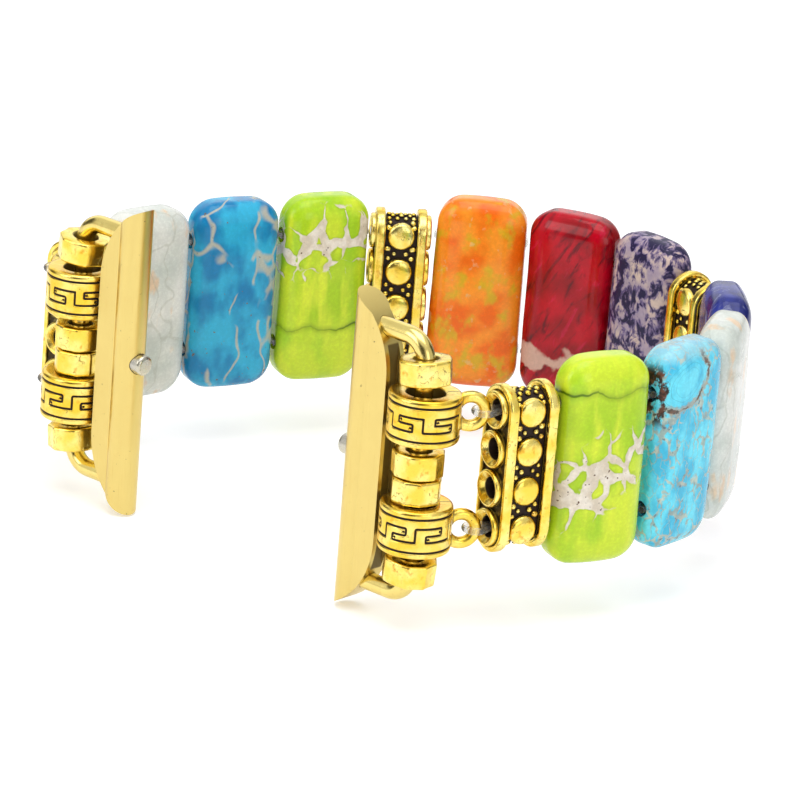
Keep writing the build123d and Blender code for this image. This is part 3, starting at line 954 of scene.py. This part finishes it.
def ring_recipe():
    size = recipe("tumbled_ring", {
        "Size": 1.0, "Flats": 9.0, "Flatness": 0.8, "Uneven": 0.07 * mm, "Tilt": 0.0})
    at = node(size.tree, "GeometryNodeInputPosition")
    x, y, _ = axes(at)
    turn = work("ARCTAN2", y, x) + size["Seed"]
    turn = turn + work("SINE", turn * 2.0 + size["Seed"]) * 0.16
    wedge = 2 * pi / size["Flats"]
    within = work("WRAP", turn, wedge, 0.0) - wedge * 0.5
    flat = work("COSINE", wedge * 0.5) / work("COSINE", within)
    outside = step(work("LENGTH", at * (1, 1, 0))["Value"], 1.6 * mm, 2.3 * mm)
    shrink = (flat - 1.0) * size["Flatness"] * outside + 1.0
    girth = shrink * ((size["Size"] - 1.0) * outside + 1.0)
    ring = moved(size["Geometry"], Position=at * vector(girth, girth, 1.0))
    ring = pressed_in(ring, ripple(size, 480.0) * size["Uneven"])
    ring = node(size.tree, "GeometryNodeTransform", {"Geometry": ring, "Rotation": vector(y=size["Tilt"])})
    return finish_recipe(size, ring, 60, "ring_place")


def ring_dark(place):
    """A little patina inside the bore."""
    x, y, _ = axes(place)
    return step((x * x + y * y) ** 0.5, 1.4, 1.22) * 0.75


ring_tube, tumbled_ring = ring_casting(), ring_recipe()
ring_gold = gold_material("antique_gold_ring", "ring_place", ring_dark, dents=0.9)
# Each ring's level, tilt in degrees, seed, share of the usual girth, and number of flats.
rings = [("top", -6, 0.4, 1.06, 8.0), ("high", 0, 1.7, 1.02, 9.0), ("low", 0, 2.9, 1.0, 8.0),
         ("bottom", 6, 4.2, 1.06, 8.0)]
sides = (("right", 0), ("left", 180))
for side, heading in sides:
    for level, tilt, seed, girth, flats in rings:
        name = "ring_" + level + "_" + side
        make(name, "_cast", tumbled_ring, "antique_gold", ring_tube, Size=girth, Flats=flats,
             Seed=seed + heading / 50, Tilt=radians(tilt), Heading=radians(heading), Material=ring_gold,
             Centre=(bars[side].x, bars[side].y, middle(name).z))


# Wire bars. Round steel wire of 1.8 mm, bent like a D and plated pale gold. Both legs are pressed
# into the connector, so the rings and bails can't come off.
def wire_recipe():
    size = recipe("bent_wire", {"Wire Radius": 0.9 * mm, "Bend Radius": 2.3 * mm})
    tree = size.tree
    path = node(tree, "GeometryNodeMeshToCurve", {"Mesh": size["Geometry"]})
    path = node(tree, "GeometryNodeFilletCurve", {
        "Curve": path, "Radius": size["Bend Radius"], "Count": 22}, mode="POLY")
    circle = node(tree, "GeometryNodeCurvePrimitiveCircle", {"Resolution": 36, "Radius": size["Wire Radius"]})
    wire = node(tree, "GeometryNodeCurveToMesh", {"Curve": path, "Profile Curve": circle, "Fill Caps": True})
    return finish_recipe(size, wire, 50, "wire_place")


leg_end, leg_height = -6.88 * mm, 12.8 * mm
wire_line = bpy.data.meshes.new("wire_line")
wire_line.from_pydata([
    (leg_end, 0, leg_height), (0, 0, leg_height), (0, 0, -leg_height), (leg_end, 0, -leg_height)],
    [(0, 1), (1, 2), (2, 3)], [])
bent_wire = wire_recipe()
pale_gold = gold_material("pale_gold_wire", "wire_place", colour="e6cf7c", shine=0.14, dents=0.12, blotch=0.3,
                          tool_marks=(1, 1, 0.15))
for side, heading in sides:
    make("wire_bar_" + side, "_bent", bent_wire, "gold_plated_steel", wire_line, "connector_" + side,
         Seed=heading / 90, Centre=(bars[side].x, bars[side].y, mid_height), Heading=radians(heading),
         Material=pale_gold)


# Connectors. Slide-in lugs milled from steel bar and plated pale gold, with leaf-shaped brushed
# ends, a polished groove down the outer face, and a bore for the lock behind it.
def whole_copy(node_name):
    """A CAD solid as one connected mesh, ready for a finish of its own."""
    made = bmesh.new()
    made.from_mesh(frame["nodes"][node_name].data)
    bmesh.ops.remove_doubles(made, verts=made.verts, dist=0.002 * mm)
    bmesh.ops.dissolve_limit(made, angle_limit=radians(0.5), verts=made.verts, edges=made.edges)
    return one_mesh(node_name + "_whole", made)


def milled_recipe():
    size = recipe("milled_piece", {"Origin": (0.0, 0.0, 0.0), "Turn": 0.0})
    shape = node(size.tree, "GeometryNodeTransform", {
        "Geometry": size["Geometry"], "Translation": -size["Origin"]})
    shape = node(size.tree, "GeometryNodeTransform", {"Geometry": shape, "Rotation": vector(z=-size["Turn"])})
    return finish_recipe(size, shape, 28, "milled_place")


def groove_painted_shade(place):
    """Painted shade on the walls and bottom of the groove."""
    x, y, z = axes(place)
    deep = step(x, -3.72, -3.95) * step(x, -4.6, -4.4)
    return deep * step(abs(y), 0.77, 0.72) * step(abs(z), 11.4, 11.2) * 0.75


milled = milled_recipe()
brushed_gold = gold_material("pale_gold_brushed", "milled_place", groove_painted_shade, colour="dcc477", shine=0.24,
                             dents=0.3, blotch=0.06, tool_marks=(4, 4, 0.05))
lock_steel = gold_material("lock_steel", "milled_place", colour="b9b6ae", shine=0.22, dents=0.2, blotch=0.2)
for side, heading in sides:
    origin, turn = (bars[side].x, bars[side].y, mid_height), radians(heading)
    for kind, body, slot, material in (("connector_", "connector_", "gold_plated_steel", brushed_gold),
                                       ("lock_button_", "lock_button_", "lock_steel", lock_steel),
                                       ("lock_spring_", "connector_", "lock_steel", lock_steel)):
        piece = make(kind + side, "_milled", milled, slot, whole_copy(kind + side), body + side,
                     Origin=origin, Turn=turn, Seed=heading / 90, Centre=origin, Heading=turn,
                     Material=material)
    # The piece made last is the spring. Its button's travel of 0.7 mm comes off its length of 1.98 mm.
    outward = cos(turn)
    low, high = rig.box("lock_spring_" + side)
    end = (high.x if outward > 0 else low.x, (low.y + high.y) / 2, (low.z + high.z) / 2)
    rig.squash(piece, "press_lock_button_" + side, axis=(outward, 0, 0), anchor=end, keep=1 - 0.7 / 1.98)


# The studio: a plain pale table, one large soft lamp above and in front, softer ones from the
# left and right, and a camera in front and above, to the right of the band.
def table_material():
    material, tree = emptied(bpy.data.materials.new("pale_table"))
    place = node(tree, "ShaderNodeTexCoord")["Object"]
    grain = node(tree, "ShaderNodeTexNoise", {"Vector": place, "Scale": 400.0, "Detail": 3.0})
    card = node(tree, "ShaderNodeBsdfDiffuse", {"Color": tint(grain, "f2f2f2", "f6f6f6")})
    glow = node(tree, "ShaderNodeEmission", {"Color": (1, 1, 1, 1), "Strength": 0.3})
    lit = node(tree, "ShaderNodeAddShader", {0: card, 1: glow})
    ray = node(tree, "ShaderNodeLightPath")
    seen = most(ray["Is Camera Ray"], ray["Is Glossy Ray"], ray["Is Transmission Ray"])
    shown = node(tree, "ShaderNodeMixShader", {0: seen, 1: card, 2: lit})
    node(tree, "ShaderNodeOutputMaterial", {"Surface": shown})
    return material


table_half, table_top = 3, -0.2 * mm
table_mesh = bpy.data.meshes.new("table")
table_mesh.from_pydata([(x * table_half, y * table_half, table_top)
                        for x, y in ((-1, -1), (1, -1), (1, 1), (-1, 1))], [], [(0, 1, 2, 3)])
table = put("table", table_mesh)
table.data.materials.append(table_material())
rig.stage(table)

# The room is white to the camera. In reflections it is white overhead, in front, to the right and
# behind, and grey elsewhere, so that the gold gets bright and dark bands.
world, air = emptied(bpy.data.worlds.new("studio"))
bpy.context.scene.world = world
ray = node(air, "ShaderNodeLightPath")
across, depth, height = axes(node(air, "ShaderNodeTexCoord")["Generated"])
overhead = step(height, 0.5, 0.62)
front = step(depth, -0.25, -0.45) * step(abs(across + 0.45), 0.36, 0.28)
aside = step(across, 0.55, 0.7) * step(height, -0.3, -0.1)
behind = step(depth * 0.72 + across * -0.69, 0.55, 0.75) * step(height, 0.02, 0.16)
reflected = tint(most(overhead, front, aside * 0.8, behind * 0.9), "57564f", "ffffff")
room = tint(ray["Is Diffuse Ray"], reflected, "e4e4e6")
soft = node(air, "ShaderNodeBackground", {
    "Color": room, "Strength": behind * ray["Is Glossy Ray"] * 0.6 + 0.85})
white = node(air, "ShaderNodeBackground", {"Color": (1, 1, 1, 1), "Strength": 1.0})
seen = most(ray["Is Camera Ray"], ray["Is Transmission Ray"])
shown = node(air, "ShaderNodeMixShader", {0: seen, 1: soft, 2: white})
node(air, "ShaderNodeOutputWorld", {"Surface": shown})

lamp_aim = Vector((0, 0, 0.015))
for name, place, width, power in (("soft_lamp_above", (0.05, -0.05, 0.34), 0.28, 0.55),
                                  ("soft_lamp_left", (-0.1, -0.34, 0.2), 0.2, 0.3),
                                  ("soft_lamp_right", (0.34, -0.12, 0.12), 0.16, 0.12)):
    lamp = put(name, bpy.data.lights.new(name, "AREA"))
    lamp.data.size, lamp.data.energy = width, power
    lamp.location = place
    lamp.rotation_euler = (lamp_aim - Vector(place)).to_track_quat("-Z", "Y").to_euler()

frame_pixels, focal_pixels, film_width = 800, 4700, 36
camera = put("camera", bpy.data.cameras.new("camera"))
bpy.context.scene.camera = camera
camera.data.sensor_width, camera.data.lens = film_width, film_width * focal_pixels / frame_pixels
camera.data.clip_start, camera.data.clip_end = 0.01, 20
azimuth, elevation, roll, distance = radians(43.68), radians(19.05), radians(3.77), 452.8 * mm
# This point, in front of the gap between the connectors, falls on this pixel.
target, target_pixel = Vector((-1.416, -31.864, 15.896)) * mm, (198.2, 415.6)
back = Vector((sin(azimuth) * cos(elevation), -cos(azimuth) * cos(elevation), sin(elevation)))
level = (-back).cross(Vector((0, 0, 1))).normalized()
right = cos(roll) * level + sin(roll) * level.cross(-back)
up = cos(roll) * level.cross(-back) - sin(roll) * level
toward = Vector((target_pixel[0] - frame_pixels / 2, frame_pixels / 2 - target_pixel[1], -focal_pixels))
aimed_aside = Vector((0, 0, -1)).rotation_difference(toward.normalized()).to_matrix()
facing = Matrix((right, up, back)).transposed() @ aimed_aside.inverted()
camera.matrix_world = Matrix.Translation(target + back * distance) @ facing.to_4x4()

bpy.context.scene.view_settings.view_transform = "Standard"

visual_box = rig.bounds()
with open("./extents.json", "w") as sizes_file:
    json.dump({"cad": [list(corner) for corner in cad_box], "visual": [list(corner) for corner in visual_box]}, sizes_file)
